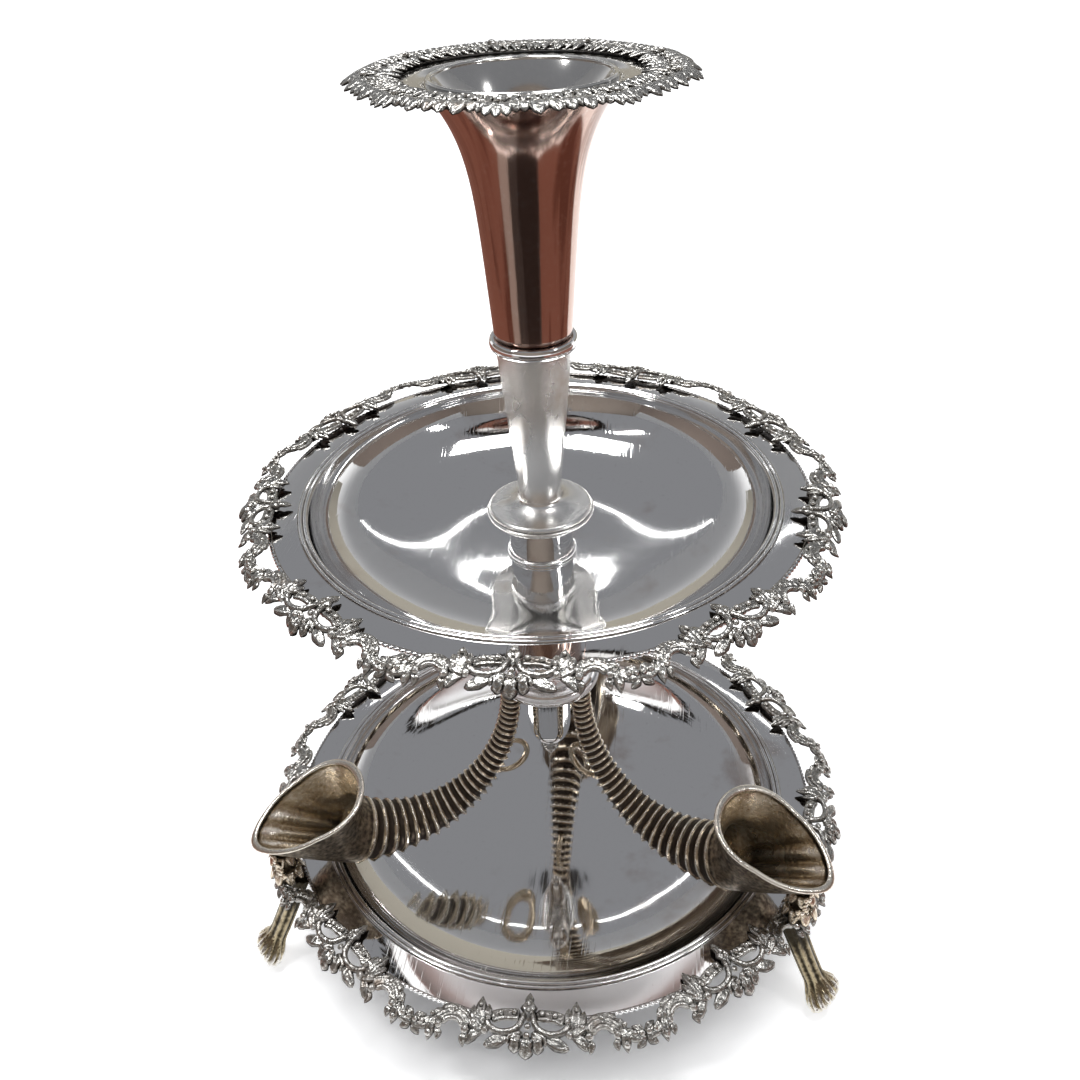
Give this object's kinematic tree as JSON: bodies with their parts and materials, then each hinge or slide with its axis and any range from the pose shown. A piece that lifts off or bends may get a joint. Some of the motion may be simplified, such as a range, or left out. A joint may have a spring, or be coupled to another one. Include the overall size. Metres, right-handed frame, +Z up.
{
  "type": "epergne",
  "caption": "Two-tier table centrepiece with pierced floral borders, ribbed horns between the dishes and a lift-out trumpet vase on top, standing on cast feet.",
  "frame": {"origin": "on the axis of the dishes, in the plane that the feet stand on", "axes": "+Z up along the axis of the dishes, +Y towards the back horn and foot, front towards -Y"},
  "size_m": [0.3226, 0.3456, 0.4443],
  "materials": {
    "polished_plate": "polished silver plate with fine scratches",
    "cast_plate": "cast silver plate, dark in its recesses",
    "oxidised_plate": "tarnished silver plate, bright on its edges",
    "worn_plate": "silver plate worn to the base metal",
    "dull_plate": "dull silver plate",
    "vase_plate": "polished silver plate",
    "fittings": "turned metal"
  },
  "bodies": {
    "base": {"lower_dish": "polished_plate", "upper_dish": "polished_plate", "hub_cup": "polished_plate", "hub_plate": "polished_plate", "stem": "polished_plate", "dish_boss": "polished_plate", "holder_ring": "polished_plate", "lower_border_1": "cast_plate", "lower_border_2": "cast_plate", "lower_border_3": "cast_plate", "lower_border_4": "cast_plate", "lower_border_5": "cast_plate", "lower_border_6": "cast_plate", "lower_border_7": "cast_plate", "lower_border_8": "cast_plate", "lower_border_9": "cast_plate", "upper_border_1": "cast_plate", "upper_border_2": "cast_plate", "upper_border_3": "cast_plate", "upper_border_4": "cast_plate", "upper_border_5": "cast_plate", "upper_border_6": "cast_plate", "upper_border_7": "cast_plate", "upper_border_8": "cast_plate", "upper_border_9": "cast_plate", "horn_back": "oxidised_plate", "horn_left": "oxidised_plate", "horn_right": "oxidised_plate", "flower_spray_back": "oxidised_plate", "flower_spray_left": "oxidised_plate", "flower_spray_right": "oxidised_plate", "tendril_back": "oxidised_plate", "tendril_left": "oxidised_plate", "tendril_right": "oxidised_plate", "foot_back": "worn_plate", "foot_left": "worn_plate", "foot_right": "worn_plate", "vase_holder": "dull_plate", "tie_rod": "fittings"},
    "vase": {"trumpet_vase": "vase_plate", "vase_border_1": "cast_plate", "vase_border_2": "cast_plate", "vase_border_3": "cast_plate", "vase_border_4": "cast_plate", "vase_border_5": "cast_plate", "vase_border_6": "cast_plate", "vase_border_7": "cast_plate", "vase_border_8": "cast_plate", "vase_border_9": "cast_plate"},
    "washer": {"finial_washer": "fittings"},
    "finial": {"finial": "fittings"}
  },
  "joints": [
    {"name": "vase_lift", "type": "slide", "parent": "base", "child": "vase", "axis": [0, 0, 1], "range_m": [0, 0.07]},
    {"name": "washer_drop", "type": "slide", "parent": "base", "child": "washer", "axis": [0, 0, -1], "range_m": [0, 0.004]},
    {"name": "finial_turn", "type": "hinge", "parent": "washer", "child": "finial", "pos_m": [0, 0, 0.09], "axis": [0, 0, -1], "range_deg": [0, 1476]}
  ],
  "couplings": [
    {"joint": "finial_turn", "follows": "washer_drop", "rad_per_m": 6283.2}
  ]
}
